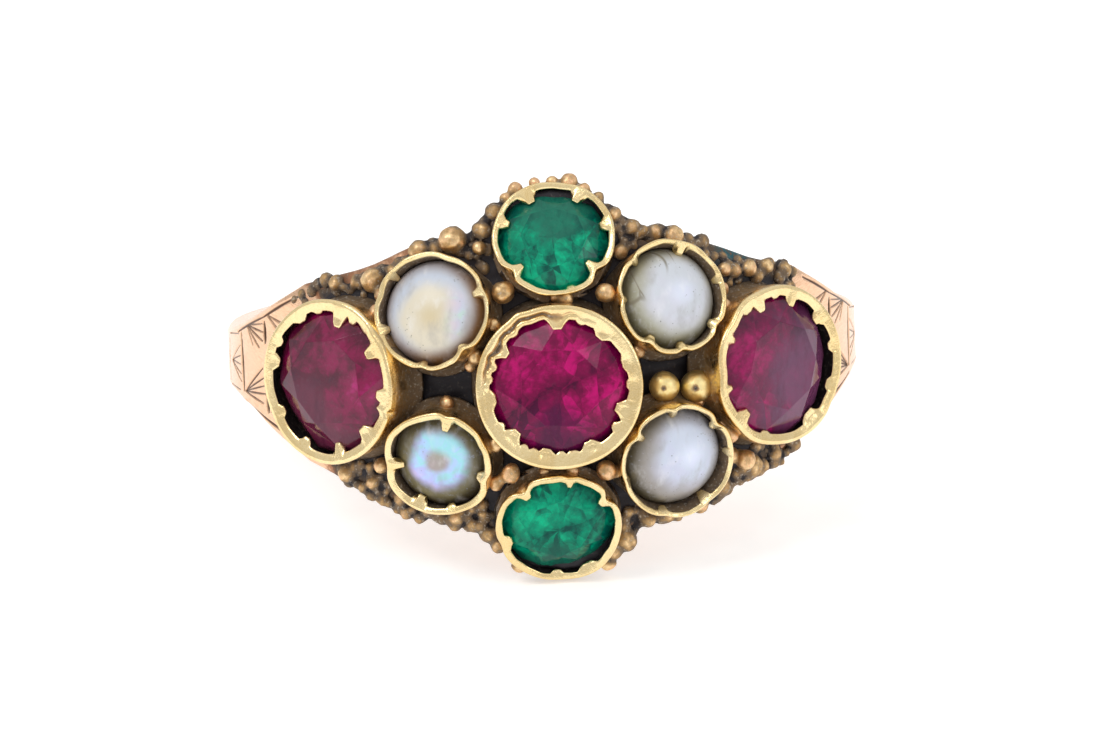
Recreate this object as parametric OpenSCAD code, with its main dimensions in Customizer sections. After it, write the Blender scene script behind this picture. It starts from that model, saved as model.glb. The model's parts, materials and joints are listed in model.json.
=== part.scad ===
// Victorian cluster mourning ring: one soldered gold mount with nine stones in scalloped collets.
// Ring frame: the finger goes along Z, the head faces -Y. The finished ring lies on its side.

/* [Hoop] */
// Radius of the finger hole
bore_r = 8.5; // [8:0.1:9]
// Outer radius of the hoop
hoop_r = 9.5; // [9.3:0.1:10]
// Half of the hoop's width at the back
back_half = 0.9; // [0.7:0.05:1.2]
// Half of the hoop's width at the sides
side_half = 0.95; // [0.7:0.05:1.3]
// Half of the flat middle of the hoop's outer face
flat_half = 2; // [1.5:0.1:2.5]

/* [Head] */
// Distance from the finger's axis to the centre collet's rim
rim_dist = 10.9; // [10.7:0.1:11.5]
// Radius of the head's dome along the finger
dome_r = 10; // [9:0.5:14]
// Width across the two outer collets' rim centres, as an angle of the hoop
head_span = 77.2; // [74:0.1:80]
// Half of the base plate's height under the top and bottom collets
plate_half = 5.75; // [5.4:0.05:6]
// Distance from the finger's axis to the plate's outer face at its top and bottom
edge_dist = 9.02; // [8.9:0.02:9.2]

/* [Collets] */
// Depth of a rim's chamfer
rim_chamfer = 0.12; // [0.05:0.01:0.2]
// Depth under the rim at which a collet's wall starts to draw in
wall_straight = 0.45; // [0.2:0.05:0.8]
// Inward slope of a collet's wall from there to its foot
wall_taper = 0.22; // [0:0.02:0.4]
// Depth of a collet's foot under the plate's face
foot_sink = 0.35; // [0.2:0.05:0.4]
// Width of a claw at its root
claw_w = 0.42; // [0.2:0.02:0.6]
// Drop of the claw sheet from its root to its tips
claw_drop = 0.06; // [0.02:0.01:0.12]
// Reach of the sloping claw sheet past its tips
sheet_reach = 0.12; // [0.05:0.01:0.2]

/* [Stones] */
// Gap between a stone and its collet
stone_gap = 0.05; // [0.03:0.01:0.1]
// Depth of a cut stone's girdle under the rim
girdle_depth = 0.55; // [0.5:0.01:0.6]
// Thickness of a cut stone's girdle
girdle_t = 0.08; // [0.04:0.01:0.15]
// Slope of a cut stone's crown
crown_slope = 33; // [28:1:38]
// Height of the seat's roof over the girdle, which clears the crown's corners
crown_room = 0.12; // [0.1:0.01:0.14]
// Depth of a half pearl's flat base under the rim
pearl_depth = 0.8; // [0.7:0.05:0.9]
// Height of a half pearl's straight side
pearl_side = 0.12; // [0.05:0.01:0.2]
// Room round a half pearl under its claws
pearl_room = 0.08; // [0.05:0.01:0.15]
// Thickness of the claw sheet over a half pearl at its root
pearl_sheet = 0.3; // [0.2:0.02:0.4]
// Thickness of that sheet at its tips
pearl_tip = 0.08; // [0.06:0.01:0.12]

/* [Rest] */
// Distance of the two foot granules from the middle
foot_x = 1.35; // [1.1:0.05:1.6]
// Radius of the two foot granules
foot_r = 0.34; // [0.3:0.01:0.4]

/* [Hidden] */
$fn = 48;
eps = 0.01;
arc_step = 15;
span_half = head_span / 2;

// Collet table: hoop angle, height, rim radius, stone radius, pavilion depth, claw tip radius,
// claw root radius, claw angles seen from the front with 0 to the right
ANGLE = 0;
HEIGHT = 1;
RIM = 2;
STONE = 3;
PAVILION = 4;
TIP = 5;
ROOT = 6;
CLAWS = 7;
ruby_centre_row = [0, 0, 2.53, 2.16, 1.05, 1.84, 2.04,
    [17, 49, 90, 118, 146, 163, 188, 225, 241, 257, 280, 297, 323, 339]];
ruby_left_row = [-span_half - 0.4, 0.15, 2.49, 2.24, 1, 1.92, 2.14,
    [12, 40, 75, 105, 140, 180, 215, 245, 270, 300, 335]];
ruby_right_row = [span_half - 0.2, 0.1, 2.46, 2.22, 1, 1.9, 2.12,
    [5, 35, 62, 90, 120, 155, 190, 222, 258, 290, 325]];
emerald_top_row = [0.2, 4.44, 1.85, 1.62, 0.58, 1.32, 1.55,
    [55, 100, 145, 190, 235, 330]];
emerald_bottom_row = [-0.6, -4.4, 1.9, 1.66, 0.58, 1.36, 1.6,
    [30, 75, 125, 175, 240, 270, 300]];
pearl_ul_row = [-20.6, 2.35, 1.8, 1.42, 0, 1.28, 1.48,
    [20, 70, 115, 160, 215, 305]];
pearl_ur_row = [19.5, 2.5, 1.76, 1.38, 0, 1.25, 1.46,
    [15, 60, 100, 150, 200, 250, 320]];
pearl_ll_row = [-20.4, -2.32, 1.7, 1.02, 0, 1.12, 1.36,
    [50, 110, 170, 225, 285, 345]];
pearl_lr_row = [19.5, -2.5, 1.82, 1.4, 0, 1.28, 1.52,
    [40, 95, 150, 200, 260, 310]];
rows = [ruby_centre_row, ruby_left_row, ruby_right_row, emerald_top_row, emerald_bottom_row,
    pearl_ul_row, pearl_ur_row, pearl_ll_row, pearl_lr_row];

// Granule table: sideways place, height, radius, rise of the centre over the plate
SIDE = 0;
UP = 1;
GRAIN_R = 2;
RISE = 3;
edge_grains = [
    [-7.15, 2.8, 0.26, 0], [-6.55, 3.1, 0.24, 0], [-5.95, 3.25, 0.26, 0], [-5.35, 3.4, 0.34, 0],
    [-4.65, 3.85, 0.26, 0], [-3.9, 4.2, 0.3, 0.05], [-3, 4.45, 0.42, 0.1], [-2.05, 4.6, 0.3, 0],
    [-1.72, 5.2, 0.3, 0], [-1.3, 5.62, 0.24, -0.1], [0.6, 6.04, 0.24, -0.15], [1.5, 5.55, 0.24, -0.05],
    [2, 4.9, 0.28, 0], [2.7, 4.5, 0.26, 0], [3.6, 4.4, 0.31, 0.05], [4.4, 4, 0.26, 0],
    [5.05, 3.6, 0.26, 0], [5.6, 3.38, 0.26, 0], [6.15, 3.15, 0.26, 0], [6.7, 3, 0.26, 0],
    [7.2, 2.75, 0.25, 0],
    [-7.1, -2.8, 0.26, 0], [-6.2, -3.1, 0.28, 0], [-5.3, -3.5, 0.26, 0], [-4.4, -3.95, 0.26, 0],
    [-3.3, -4.35, 0.27, 0], [-2.05, -4.9, 0.26, 0], [2.05, -4.9, 0.28, 0], [2.8, -4.5, 0.26, 0],
    [3.5, -4.4, 0.28, 0], [4.3, -4.05, 0.3, 0], [4.95, -3.65, 0.28, 0], [5.75, -3.3, 0.27, 0],
    [6.55, -3.05, 0.26, 0], [7.2, -2.75, 0.26, 0]];
inner_grains = [
    [-1.44, 2.74, 0.34, 0.24], [1.42, 2.68, 0.3, 0.2], [3.25, 0, 0.48, 0.38], [4.12, -0.04, 0.5, 0.4],
    [1.34, -2.5, 0.32, 0.22], [-1.5, -2.52, 0.34, 0.24], [-2.2, 3.75, 0.24, 0.08], [2.05, 3.8, 0.24, 0.08],
    [-5.1, 2.65, 0.26, 0.1], [5.15, 2.7, 0.26, 0.1], [-5.3, -2.5, 0.26, 0.1], [5.2, -2.6, 0.26, 0.1]];
foot_up = -5.75;
foot_dist = 8.88;

// Height of the plate's surface from the finger's axis at height z
function plate_dist(z) = let (share = (abs(z) - flat_half) / (plate_half - flat_half))
    hoop_r - (hoop_r - edge_dist) * max(0, share);
// Lean of the head's surface away from the middle, and its distance from the finger's axis
function lean(z) = asin(z / dome_r);
function rim_radius(z) = rim_dist - dome_r * (1 - cos(lean(z)));

// Tilt of the resting ring: a plane through the back edge that touches both foot granules
foot_depth = sqrt(foot_dist * foot_dist - foot_x * foot_x);
back_y = plate_dist(back_half);
run = back_y + foot_depth;
drop = foot_up + back_half;
tilt = asin(foot_r / norm([run, drop])) - atan2(drop, run);
floor_up = back_y * sin(tilt) + back_half * cos(tilt);
front_y = -rim_dist * cos(tilt) - ruby_centre_row[RIM] * sin(tilt);
rear_y = back_y * cos(tilt) + back_half * sin(tilt);

// Lays the ring on its side, with its lowest points on the floor
module at_rest() {
    translate([0, -(front_y + rear_y) / 2, floor_up])
        rotate([-tilt, 0, 0])
            children();
}

// Puts a shape at a collet: its Z comes out of the head and its Y goes up the finger
module at_collet(row) {
    z = row[HEIGHT];
    rotate([0, 0, row[ANGLE]])
        translate([0, -rim_radius(z), z])
            rotate([90 - lean(z), 0, 0])
                children();
}

// Outline of the hoop and lozenge plate from the front
module front_outline() {
    corner = [[hoop_r + 1, side_half], [hoop_r, side_half], [8.4, 1.95], [7.5, 2.7], [6.15, 3.25],
        [4.3, 4.1], [2.3, 4.5], [1.6, 5.35], [1, plate_half - 0.1], [0, plate_half]];
    polygon(concat(
        corner,
        [for (i = [len(corner) - 2:-1:0]) [-corner[i][0], corner[i][1]]],
        [for (p = corner) [-p[0], -p[1]]],
        [for (i = [len(corner) - 2:-1:0]) [corner[i][0], -corner[i][1]]]));
}

// Outline of the hoop, shoulders and plate from the side, from the back of the hoop to the head
module side_outline() {
    edge = [[hoop_r + 1, back_half], [0, side_half], [-1.65, 1.1], [-3.25, 1.5], [-4.8, 2.15], [-6.2, 3.1],
        [-7.2, 4.2], [-8, plate_half + 0.7], [-hoop_r - 1, plate_half + 0.7]];
    polygon(concat(edge, [for (i = [len(edge) - 1:-1:0]) [edge[i][0], -edge[i][1]]]));
}

// Sleeve with falling ends that the hoop and plate are cut from
module sleeve() {
    end = plate_half + 0.4;
    inner = bore_r - 0.3;
    rotate_extrude($fn = 180)
        polygon([[inner, -end], [plate_dist(end), -end], [hoop_r, -flat_half], [hoop_r, flat_half],
            [plate_dist(end), end], [inner, end]]);
}

// Plain tapered hoop that widens at the front into the lozenge base plate
module hoop_and_plate() {
    reach = hoop_r + 1;
    intersection() {
        sleeve();
        rotate([90, 0, 90])
            linear_extrude(height = 2 * reach, center = true)
                side_outline();
        union() {
            rotate([90, 0, 0])
                linear_extrude(height = reach)
                    front_outline();
            translate([-reach, -eps, -reach])
                cube([2 * reach, reach, 2 * reach]);
        }
    }
}

// Solid cup of one collet before the stone's seat is cut: foot, wall, chamfered rim and claw sheet
module collet_cup(row) {
    foot = rim_radius(row[HEIGHT]) - plate_dist(row[HEIGHT]) + foot_sink;
    rotate_extrude()
        polygon([[0, -foot], [row[RIM] - wall_taper, -foot], [row[RIM], -wall_straight],
            [row[RIM], -rim_chamfer], [row[RIM] - rim_chamfer, 0], [row[ROOT] + claw_drop, 0],
            [row[TIP] - sheet_reach, -claw_drop], [0, -claw_drop]]);
}

// Point at radius r and angle a
function polar(r, a) = [r * cos(a), r * sin(a)];

// Outline of a collet's opening: claws point inward, and the gaps between them follow the root circle
function claw_outline(row) = let (
    claws = row[CLAWS],
    n = len(claws),
    half = claw_w / 2 / row[ROOT] * 180 / PI)
    [for (i = [0:n - 1])
        let (
            start = claws[i] + half,
            next = i < n - 1 ? claws[i + 1] : claws[0] + 360,
            end = next - half,
            steps = max(1, ceil((end - start) / arc_step)))
        each concat(
            [polar(row[TIP], claws[i])],
            [for (k = [0:steps]) polar(row[ROOT], start + (end - start) * k / steps)])];

// Opening of one collet, with its claws left standing
module claw_opening(row) {
    translate([0, 0, -girdle_depth])
        linear_extrude(height = 1 + girdle_depth)
            polygon(claw_outline(row));
}

// Seat that a cut stone drops into, wider than the stone by the gap
module cut_stone_seat(row) {
    r = row[STONE] + stone_gap;
    girdle_top = -girdle_depth + girdle_t / 2 + crown_room;
    girdle_base = -girdle_depth - girdle_t / 2 - stone_gap;
    mouth = 0.6 * row[STONE];
    roof = girdle_top + (r - mouth) * tan(crown_slope);
    rotate_extrude()
        polygon([[0, girdle_base - row[PAVILION]], [r, girdle_base], [r, girdle_top], [mouth, roof],
            [0, roof]]);
}

// Seat of a half pearl: a flat-bottomed well
module pearl_seat(row) {
    r = row[ROOT] + pearl_room;
    base = -pearl_depth - stone_gap;
    roof = -claw_drop - pearl_tip;
    rotate_extrude()
        polygon([[0, base], [r, base], [r, -pearl_sheet], [row[TIP] - sheet_reach, roof], [0, roof]]);
}

module seat(row) {
    if (row[PAVILION] > 0)
        cut_stone_seat(row);
    else
        pearl_seat(row);
}

// A ball at an angle round the finger, a distance from its axis and a height along it
module ball(angle, dist, height, r) {
    rotate([0, 0, angle])
        translate([0, -dist, height])
            rotate([90, 0, 0])
                sphere(r = r);
}

// One bead of gold partly sunk in the plate
module grain(row) {
    dist = plate_dist(row[UP]) + row[RISE];
    ball(asin(row[SIDE] / dist), dist, row[UP], row[GRAIN_R]);
}

// Two beads under the bottom collet that carry the resting head
module foot_grains() {
    for (side = [-1, 1])
        ball(side * asin(foot_x / foot_dist), foot_dist, foot_up, foot_r);
}

// Soldered mount: hoop, base plate, nine scalloped collets and all the grains
module ring_mount() {
    color("goldenrod")
        at_rest()
            difference() {
                union() {
                    hoop_and_plate();
                    for (row = rows)
                        at_collet(row)
                            collet_cup(row);
                    for (row = concat(edge_grains, inner_grains))
                        grain(row);
                    foot_grains();
                }
                for (row = rows)
                    at_collet(row) {
                        seat(row);
                        claw_opening(row);
                    }
                cylinder(r = bore_r, h = 3 * hoop_r, center = true, $fn = 180);
            }
}

// Points of a regular ring of a cut stone
function stone_ring(n, r, z, turn) =
    [for (i = [0:n - 1]) [r * cos(turn + 360 * i / n), r * sin(turn + 360 * i / n), z]];

// Round brilliant with a table, 8 star, 8 kite and 16 half facets over a 16-sided pavilion
module cut_stone(row, table_share) {
    n = 8;
    r = row[STONE];
    girdle_top = -girdle_depth + girdle_t / 2;
    girdle_base = -girdle_depth - girdle_t / 2;
    table_r = table_share * r;
    table_z = girdle_top + (r - table_r) * tan(crown_slope);
    step = 180 / n;
    kite_r = (table_r + r) / 2 / cos(step) * 0.99;
    kite_z = table_z + (girdle_top - table_z) * (kite_r * cos(step) - table_r) / (r - table_r);
    pts = concat(stone_ring(n, table_r, table_z, 0), stone_ring(n, kite_r, kite_z, step),
        stone_ring(2 * n, r, girdle_top, 0), stone_ring(2 * n, r, girdle_base, 0),
        [[0, 0, girdle_base - row[PAVILION]]]);
    kite = n;
    top = 2 * n;
    base = 4 * n;
    culet = 6 * n;
    faces = concat(
        [[for (i = [n - 1:-1:0]) i]],
        [for (i = [0:n - 1]) [i, (i + 1) % n, kite + i]],
        [for (i = [0:n - 1]) [i, kite + i, top + 2 * i, kite + (i + n - 1) % n]],
        [for (i = [0:n - 1]) [kite + i, top + 2 * i + 1, top + 2 * i]],
        [for (i = [0:n - 1]) [kite + i, top + (2 * i + 2) % (2 * n), top + 2 * i + 1]],
        [for (j = [0:2 * n - 1]) [top + j, top + (j + 1) % (2 * n), base + (j + 1) % (2 * n), base + j]],
        [for (j = [0:2 * n - 1]) [base + j, base + (j + 1) % (2 * n), culet]]);
    at_rest()
        at_collet(row)
            polyhedron(pts, faces);
}

// Half pearl: a low dome on a flat base
module half_pearl(row, rise) {
    r = row[STONE];
    height = pearl_depth + rise;
    bulge = height - pearl_side;
    dome = (r * r + bulge * bulge) / (2 * bulge);
    at_rest()
        at_collet(row)
            rotate_extrude()
                intersection() {
                    translate([0, rise - dome])
                        circle(r = dome, $fn = 96);
                    translate([0, -pearl_depth])
                        square([r, height + eps]);
                }
}

module ruby_centre() {
    color("mediumvioletred")
        cut_stone(ruby_centre_row, 0.58);
}

module ruby_left() {
    color("mediumvioletred")
        cut_stone(ruby_left_row, 0.6);
}

module ruby_right() {
    color("mediumvioletred")
        cut_stone(ruby_right_row, 0.6);
}

module emerald_top() {
    color("mediumseagreen")
        cut_stone(emerald_top_row, 0.62);
}

module emerald_bottom() {
    color("mediumseagreen")
        cut_stone(emerald_bottom_row, 0.62);
}

module pearl_upper_left() {
    color("ivory")
        half_pearl(pearl_ul_row, 0.28);
}

module pearl_upper_right() {
    color("gainsboro")
        half_pearl(pearl_ur_row, 0.28);
}

module pearl_lower_left() {
    color("lavender")
        half_pearl(pearl_ll_row, 0.1);
}

module pearl_lower_right() {
    color("gainsboro")
        half_pearl(pearl_lr_row, 0.28);
}

ring_mount();
ruby_centre();
ruby_left();
ruby_right();
emerald_top();
emerald_bottom();
pearl_upper_left();
pearl_upper_right();
pearl_lower_left();
pearl_lower_right();
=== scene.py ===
"""Looks of a Victorian cluster mourning ring.

A rose gold hoop and plate, nine scalloped collets, granules and beads, five cut stones and four half pearls.
"""

import json
import math

import bpy
import numpy as np
from mathutils import Matrix, Vector


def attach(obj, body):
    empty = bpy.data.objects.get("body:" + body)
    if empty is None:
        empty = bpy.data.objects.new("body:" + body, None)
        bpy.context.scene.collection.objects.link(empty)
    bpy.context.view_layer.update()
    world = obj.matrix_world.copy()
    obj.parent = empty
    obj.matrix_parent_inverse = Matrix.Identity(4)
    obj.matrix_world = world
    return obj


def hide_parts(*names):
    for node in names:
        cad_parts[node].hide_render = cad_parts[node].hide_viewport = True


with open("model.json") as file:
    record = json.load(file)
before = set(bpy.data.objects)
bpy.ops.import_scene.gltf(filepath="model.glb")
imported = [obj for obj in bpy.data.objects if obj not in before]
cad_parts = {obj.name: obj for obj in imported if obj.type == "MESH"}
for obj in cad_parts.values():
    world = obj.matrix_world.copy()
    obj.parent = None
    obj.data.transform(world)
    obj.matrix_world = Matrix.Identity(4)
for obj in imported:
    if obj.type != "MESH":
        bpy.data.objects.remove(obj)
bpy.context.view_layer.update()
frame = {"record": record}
SCENE = bpy.context.scene
MM = 0.001

# Ring frame: millimetres, the finger along Z, the head towards -Y, X to the right of a viewer who faces it
HOLE = next(m for m in frame["record"]["mounts"] if m["name"] == "finger_hole")
CENTRE = np.array(HOLE["pos_m"], float)
AXIS = np.array(HOLE["axis"], float) / np.linalg.norm(HOLE["axis"])
RIGHT = np.array([1.0, 0.0, 0.0])
BASIS = np.array([RIGHT, np.cross(AXIS, RIGHT), AXIS])
FROM_FRAME = np.linalg.inv(BASIS)

BORE_R = 8.5  # inside of the hoop
HOOP_R = 9.5  # outside of the hoop, and the face of the plate's middle
EDGE_ROUND = 0.13  # rounding of the hoop's edges
FLAT_HALF = 2.0  # half height of the plate's straight middle
PLATE_HALF = 5.75  # half height of the plate
EDGE_DIST = 9.02  # the plate's top edge from the finger's axis
RIM_DIST = 10.9  # the middle rim from the finger's axis
DOME_R = 10.0  # radius of the dome that the rims lie on, from top to bottom
COLLET_SIDES, PEARL_SIDES, PEARL_SHELLS = 480, 96, 30
CUP_ROOM = 0.06  # a collet's wall off its stone
WIDER = 1.03  # cut stones fill their collets by this much
GIRDLE_TOP, GIRDLE = -0.42, 0.09  # a cut stone's girdle: its top under the rim, its thickness
CROWN, CROWN_SIDES = math.tan(math.radians(33)), 8  # slope of the crown, corners of the table
BACK_DEPTH, BACK_FACETS = 0.4836, 16  # depth of the back as a share of the radius
FINE_GRAINS = 330

# One entry a collet: hoop angle, height, rim radius, inner edge of the rim, stone radius, depth of a pearl's
# base or 0, rise of a pearl over the rim. Then the claws (angle, tip as a share of the rim radius, width, and 1
# if dimpled) and the dents of the rim (angle, depth, half width in degrees).
COLLETS = {
    "ruby_centre": ((0, 0, 2.53, 2.09, 2.16, 0, 0), [
        (90, 0.71, 0.52, 1), (49, 0.76, 0.46, 1), (18, 0.81, 0.42, 1), (-21.5, 0.73, 0.46, 1),
        (-37, 0.79, 0.26), (-64, 0.75, 0.46, 1), (-80, 0.81, 0.3), (-90, 0.815, 0.22), (-103, 0.765, 0.4, 1),
        (-113, 0.8, 0.22), (-122, 0.805, 0.2), (-135, 0.735, 0.46, 1), (-148, 0.8, 0.2), (188, 0.775, 0.46),
        (172, 0.81, 0.2), (161, 0.79, 0.24, 1), (146, 0.735, 0.4, 1), (128, 0.81, 0.24), (70, 0.815, 0.22),
        (0, 0.815, 0.25)],
        [(118, -0.06, 5), (90, 0.05, 30), (-90, 0.05, 30)]),
    "ruby_left": ((-39, 0.15, 2.49, 2.25, 2.2, 0, 0), [
        (119, 0.82, 0.42), (77, 0.7, 0.44, 1), (64, 0.8, 0.3), (30, 0.69, 0.46, 1), (-10, 0.73, 0.42),
        (-19, 0.79, 0.34), (-48, 0.74, 0.5, 1), (-81, 0.76, 0.34), (-117, 0.8, 0.34), (208, 0.79, 0.34),
        (165, 0.78, 0.42, 1), (148, 0.84, 0.28), (100, 0.85, 0.3), (50, 0.86, 0.3)],
        [(-22, 0.1, 3), (40, 0.05, 6), (2, 0.13, 42), (182, 0.11, 42)]),
    "ruby_right": ((38.4, 0.1, 2.46, 2.23, 2.2, 0, 0), [
        (109, 0.74, 0.4), (122, 0.82, 0.4), (72, 0.76, 0.36), (37, 0.8, 0.42), (152, 0.79, 0.3),
        (194, 0.79, 0.26), (223, 0.75, 0.46), (252, 0.83, 0.28), (-54, 0.77, 0.6, 1), (-21, 0.84, 0.34),
        (10, 0.88, 0.3), (90, 0.86, 0.24)],
        [(140, 0.05, 7), (182, 0.06, 10), (-34, 0.04, 6), (90, 0.06, 28), (-92, 0.09, 26)]),
    "emerald_top": ((0.2, 4.44, 1.85, 1.69, 1.62, 0, 0), [
        (118, 0.71, 0.46), (58, 0.73, 0.42), (13, 0.8, 0.36), (160, 0.77, 0.34), (221, 0.72, 0.32),
        (-41, 0.7, 0.32), (-75, 0.86, 0.24)],
        [(218, 0.2, 8), (-42, 0.17, 8), (250, -0.03, 12), (90, 0.11, 30)]),
    "emerald_bottom": ((-0.6, -4.4, 1.9, 1.72, 1.66, 0, 0), [
        (77, 0.76, 0.22), (31, 0.77, 0.34), (131, 0.74, 0.34), (197, 0.8, 0.42), (267, 0.84, 0.3),
        (-60, 0.86, 0.5)],
        [(33, 0.2, 7), (128, 0.22, 8), (197, 0.06, 8), (80, 0.08, 6), (-48, -0.04, 16), (265, 0.06, 20)]),
    "pearl_upper_left": ((-20.6, 2.35, 1.8, 1.67, 1.5, 0.8, 0.26), [
        (22, 0.77, 0.34), (-47, 0.8, 0.32, 1), (262, 0.86, 0.24), (140, 0.86, 0.2), (200, 0.84, 0.26)],
        [(24, 0.07, 8), (-48, 0.16, 9), (262, 0.07, 6), (120, -0.03, 10), (75, 0.04, 9), (165, 0.05, 8)]),
    "pearl_upper_right": ((19.5, 2.5, 1.76, 1.63, 1.45, 0.8, 0.27), [
        (130, 0.82, 0.24), (70, 0.78, 0.36), (178, 0.84, 0.26), (236, 0.78, 0.32, 1), (275, 0.8, 0.26),
        (-36, 0.82, 0.28), (15, 0.88, 0.2)],
        [(132, 0.08, 7), (178, 0.12, 8), (237, 0.13, 8), (276, 0.09, 6), (-36, 0.1, 7), (40, 0.04, 9),
         (95, -0.03, 12)]),
    "pearl_lower_left": ((-20.4, -2.32, 1.7, 1.52, 1.4, 0.8, 0.1), [
        (73, 0.67, 0.38, 1), (181, 0.66, 0.34), (239, 0.74, 0.4), (281, 0.84, 0.26), (-18, 0.74, 0.34, 1)],
        [(74, 0.08, 7), (-20, 0.12, 8), (183, 0.07, 10), (150, -0.03, 12), (25, 0.05, 9), (100, 0.07, 26),
         (-90, 0.09, 28)]),
    "pearl_lower_right": ((19.5, -2.5, 1.82, 1.69, 1.46, 0.8, 0.27), [
        (40, 0.8, 0.32, 1), (97, 0.77, 0.26), (146, 0.74, 0.32), (200, 0.85, 0.24), (258, 0.87, 0.26),
        (308, 0.84, 0.3), (5, 0.88, 0.2)],
        [(42, 0.14, 8), (98, 0.1, 6), (148, 0.16, 8), (200, 0.06, 8), (262, 0.05, 7), (310, 0.06, 8),
         (-20, -0.03, 12)]),
}

# Granules: sideways place, height, radius, rise over the plate
GRAINS = [
    (-7.6, 2.32, 0.17, -0.08), (-7.38, 2.5, 0.2, -0.06), (-7.28, 2.3, 0.17, -0.06), (-7.1, 2.62, 0.2, -0.04),
    (-6.4, 2.92, 0.28, 0.02), (-5.85, 2.95, 0.2, 0), (-5.33, 3.08, 0.41, 0.1), (-4.72, 3.4, 0.2, 0),
    (-4.35, 3.62, 0.2, 0), (-3.94, 4, 0.36, 0.02), (-3.45, 4.08, 0.24, 0), (-2.97, 4.32, 0.44, 0.12),
    (-2.2, 4.1, 0.23, 0.25), (-2.06, 4.6, 0.3, 0), (-1.7, 5.16, 0.28, -0.03), (-1.32, 5.5, 0.22, -0.05),
    (-1.02, 5.74, 0.26, -0.26), (-0.43, 5.92, 0.2, -0.3), (0.1, 5.94, 0.2, -0.3), (0.6, 5.92, 0.29, -0.3),
    (1.05, 5.7, 0.2, -0.22), (1.42, 5.4, 0.22, -0.05), (1.9, 4.92, 0.26, 0), (2.4, 4.5, 0.28, 0),
    (2.75, 4.35, 0.22, 0), (3.1, 4.28, 0.26, 0), (3.66, 4.14, 0.38, 0.05), (4.2, 3.78, 0.22, 0),
    (4.6, 3.5, 0.2, 0), (5.2, 2.98, 0.24, 0.08), (5.55, 2.95, 0.2, 0.05), (5.96, 2.96, 0.28, 0.1),
    (6.5, 2.92, 0.26, 0.08), (7.05, 2.74, 0.27, 0.03), (7.3, 2.62, 0.2, 0), (-6.28, -2.8, 0.33, 0.02),
    (-5.51, -3.05, 0.26, 0), (-4.72, -3.5, 0.25, 0), (-3.93, -3.85, 0.26, 0), (-3.12, -4.08, 0.3, 0),
    (-2.62, -4.3, 0.24, 0), (-2.2, -4.62, 0.28, 0), (-1.9, -4.95, 0.26, 0), (1.92, -4.92, 0.38, 0),
    (1.55, -5.25, 0.28, 0), (2.6, -4.35, 0.26, 0), (3.2, -4.25, 0.28, 0), (4.2, -4, 0.33, 0),
    (4.9, -3.55, 0.3, 0), (5.86, -3.05, 0.36, 0.03), (6.55, -2.8, 0.26, 0), (7.2, -2.62, 0.25, 0),
    (-1.54, 2.8, 0.37, 0.5), (1.52, 2.7, 0.33, 0.8), (1.36, -2.66, 0.34, 0.8), (-1.51, -2.62, 0.32, 0.85),
    (-5.1, 2.65, 0.26, 0.2), (5, 2.45, 0.3, 0.35), (-5.3, -2.5, 0.26, 0.1), (5.2, -2.6, 0.28, 0.2),
    (2.05, 3.8, 0.26, 0.1), (-1.3, -5.6, 0.24, -0.13), (1.38, -5.62, 0.26, -0.13)]
# Solder between the collets, the same way
SOLDER = [
    (-5.02, 1.36, 0.28, 0.8), (-5.3, 2.2, 0.26, 0.5), (-4.95, 1.7, 0.22, 0.6), (-2.45, 0.9, 0.26, 0.75),
    (-2.6, 0.6, 0.2, 0.6), (-1.85, 1.87, 0.24, 0.62), (0.32, 2.58, 0.26, 0.76), (0.05, 2.62, 0.2, 0.7),
    (1.7, 2.62, 0.2, 0.7), (2.45, 0.87, 0.24, 0.68), (4.98, 1.46, 0.28, 0.8), (5.1, 2, 0.26, 0.6),
    (4.9, 1.75, 0.2, 0.6), (-3.33, -0.48, 0.24, 0.66), (-1.93, -1.78, 0.26, 0.64), (-1.95, -2.93, 0.24, 0.7),
    (-1.75, -2.78, 0.2, 0.75), (4.22, -0.76, 0.24, 0.62), (5.15, -1.88, 0.3, 0.76), (4.95, -1.6, 0.22, 0.6),
    (1.65, -2.72, 0.22, 0.66), (5.65, -2.75, 0.32, 0.5), (0.35, -2.6, 0.22, 0.7), (-0.5, -2.62, 0.2, 0.6)]
BEADS = [(3.2, -0.25, 0.46, 0.66), (4.18, -0.33, 0.49, 0.66)]

# Bright-cut strokes of the left shoulder: hoop angle and height of both ends, width in the middle
STROKES = [
    (-75.4, 1, -74.7, -0.72, 0.24), (-64.2, 1.5, -64, 0.9, 0.22), (-64, -0.58, -63.6, -1.2, 0.22),
    (-77.5, 1, -64.5, 1.66, 0.1), (-64.5, 1.66, -54.5, 2.34, 0.12), (-74.5, -0.98, -57.5, -1.78, 0.1),
    (-72, 1.3, -64.8, 1.45, 0.06), (-72, 1.3, -64.9, 1.2, 0.07), (-72, 1.3, -65, 0.92, 0.07),
    (-72, 1.3, -66.5, 0.7, 0.06), (-72, 1.3, -69.2, 0.72, 0.05), (-74, -0.74, -65.3, 0.1, 0.09),
    (-74, -0.74, -64.8, -0.18, 0.08), (-74, -0.74, -64.4, -0.42, 0.07), (-74, -0.74, -64.2, -0.68, 0.07),
    (-74, -0.74, -65.4, -0.98, 0.06), (-83.5, 0.05, -76.3, 0.62, 0.06), (-83.5, 0.05, -76.4, 0.3, 0.06),
    (-83.5, 0.05, -76.4, 0.02, 0.06), (-83.5, 0.05, -76.2, -0.26, 0.06), (-83.5, 0.05, -76, -0.5, 0.05),
    (-85, 0.82, -77, 0.95, 0.05), (-85, -0.72, -77, -0.76, 0.05), (-86, 0.62, -86.4, -0.6, 0.1),
    (-62.8, 1.74, -57, 1.1, 0.06), (-62.8, 1.74, -56, 1.5, 0.06), (-62.8, -1.2, -57, -0.7, 0.06),
    (-92, 0.5, -86.8, 0.05, 0.05), (-92, -0.5, -86.8, -0.05, 0.05)]


# Shapes

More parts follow.
